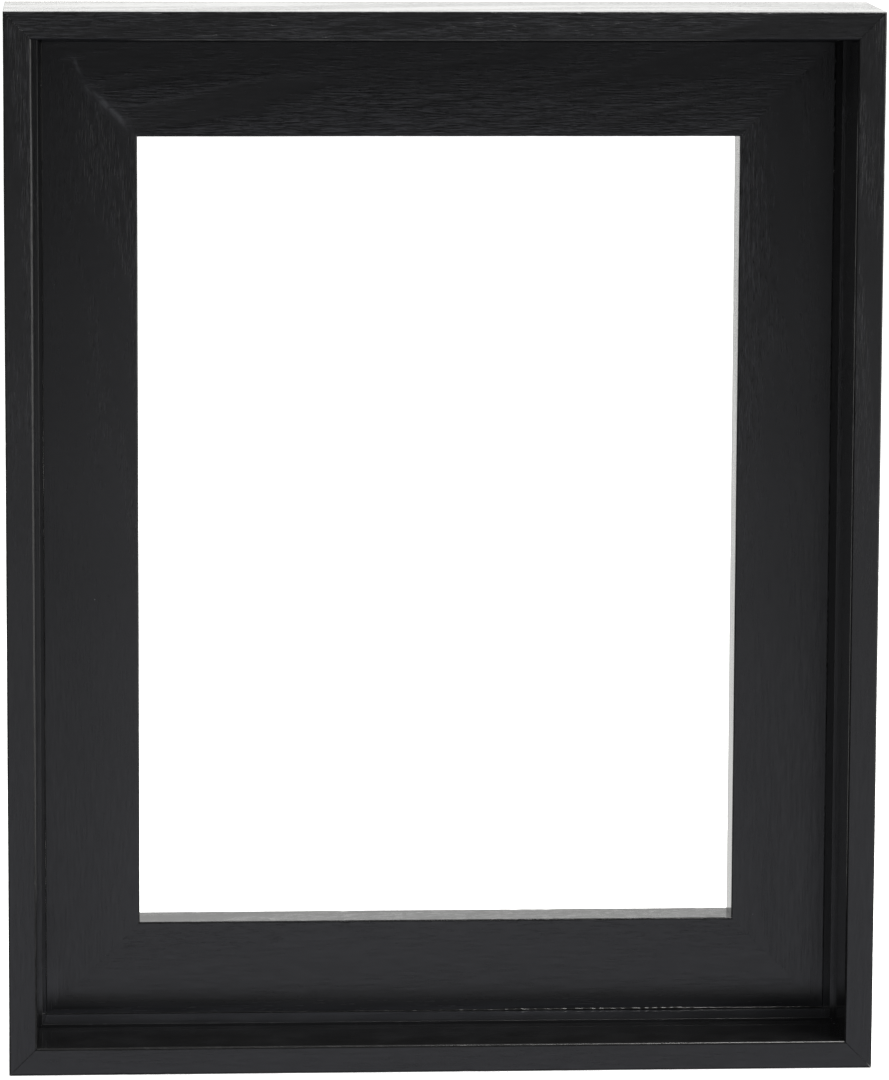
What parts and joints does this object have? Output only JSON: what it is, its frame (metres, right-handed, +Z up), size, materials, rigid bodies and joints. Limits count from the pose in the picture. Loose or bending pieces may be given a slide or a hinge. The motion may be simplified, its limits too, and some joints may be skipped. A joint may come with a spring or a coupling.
{
  "type": "picture frame",
  "caption": "Deep black mitred wooden frame with a narrow raised lip, a shadow-gap recess, a flat inner ledge, an open centre and ring hangers behind.",
  "frame": {"origin": "on the surface it stands on, under the middle of the whole bounding box", "axes": "+X to the right seen from the front, +Y back towards the wall, +Z up; the lip's face looks along -Y"},
  "size_m": [0.266, 0.0546, 0.326],
  "materials": {
    "black_lacquer": "satin black lacquer over fine wood grain",
    "zinc_steel": "bright zinc-plated steel",
    "screw_brass": "brass-plated steel screw",
    "bumper_rubber": "soft matt black rubber"
  },
  "bodies": {
    "frame": {"lip_rail_left": "black_lacquer", "lip_rail_right": "black_lacquer", "lip_rail_bottom": "black_lacquer", "lip_rail_top": "black_lacquer", "ledge_rail_left": "black_lacquer", "ledge_rail_right": "black_lacquer", "ledge_rail_bottom": "black_lacquer", "ledge_rail_top": "black_lacquer", "v_nail_lip_bottom_left": "zinc_steel", "v_nail_ledge_bottom_left_1": "zinc_steel", "v_nail_ledge_bottom_left_2": "zinc_steel", "v_nail_lip_bottom_right": "zinc_steel", "v_nail_ledge_bottom_right_1": "zinc_steel", "v_nail_ledge_bottom_right_2": "zinc_steel", "v_nail_lip_top_left": "zinc_steel", "v_nail_ledge_top_left_1": "zinc_steel", "v_nail_ledge_top_left_2": "zinc_steel", "v_nail_lip_top_right": "zinc_steel", "v_nail_ledge_top_right_1": "zinc_steel", "v_nail_ledge_top_right_2": "zinc_steel", "hanger_strap_left": "zinc_steel", "hanger_screw_left": "screw_brass", "hanger_strap_right": "zinc_steel", "hanger_screw_right": "screw_brass", "bumper_bottom_left": "bumper_rubber", "bumper_bottom_right": "bumper_rubber", "bumper_top_left": "bumper_rubber", "bumper_top_right": "bumper_rubber"},
    "ring_left": {"hanger_ring_left": "zinc_steel"},
    "ring_right": {"hanger_ring_right": "zinc_steel"}
  },
  "joints": [
    {"name": "ring_left_swing", "type": "hinge", "parent": "frame", "child": "ring_left", "pos_m": [-0.1075, 0.02485, 0.232], "axis": [1, 0, 0], "range_deg": [0, 180]},
    {"name": "ring_right_swing", "type": "hinge", "parent": "frame", "child": "ring_right", "pos_m": [0.1075, 0.02485, 0.232], "axis": [1, 0, 0], "range_deg": [0, 180]}
  ]
}
